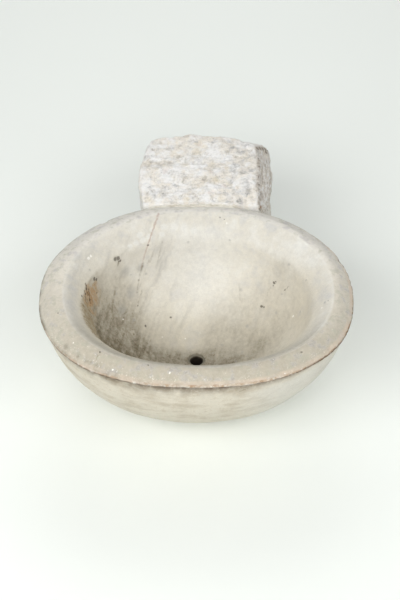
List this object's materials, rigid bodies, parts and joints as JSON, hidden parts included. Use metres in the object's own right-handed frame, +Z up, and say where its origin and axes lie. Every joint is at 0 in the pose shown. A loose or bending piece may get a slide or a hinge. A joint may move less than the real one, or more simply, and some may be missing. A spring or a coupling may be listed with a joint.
{
  "type": "wall basin",
  "caption": "Oval marble wall basin with a sloping rim, a deep hollow and a lead-lined drain, doweled to a rough stone tail that is built into a wall.",
  "frame": {"origin": "on the floor, under the middle of the whole part's box", "axes": "+Z up, -Y towards the front of the bowl, +Y along the tail into the wall, +X to the right seen from the front"},
  "size_m": [0.5398, 0.6304, 0.2559],
  "materials": {
    "marble": "worn, honed",
    "rough_stone": "rough hewn",
    "lime_mortar": "raked",
    "wrought_iron": "rusted",
    "lead": "dull",
    "putty": "matt"
  },
  "bodies": {
    "root": {"basin_bowl": "marble", "tail_block": "rough_stone", "joint_mortar": "lime_mortar", "dowel_left": "wrought_iron", "dowel_right": "wrought_iron", "lead_bowl_left": "lead", "lead_bowl_right": "lead", "lead_tail_left": "lead", "lead_tail_right": "lead", "drain_sleeve": "lead", "drain_putty": "putty"}
  },
  "joints": []
}
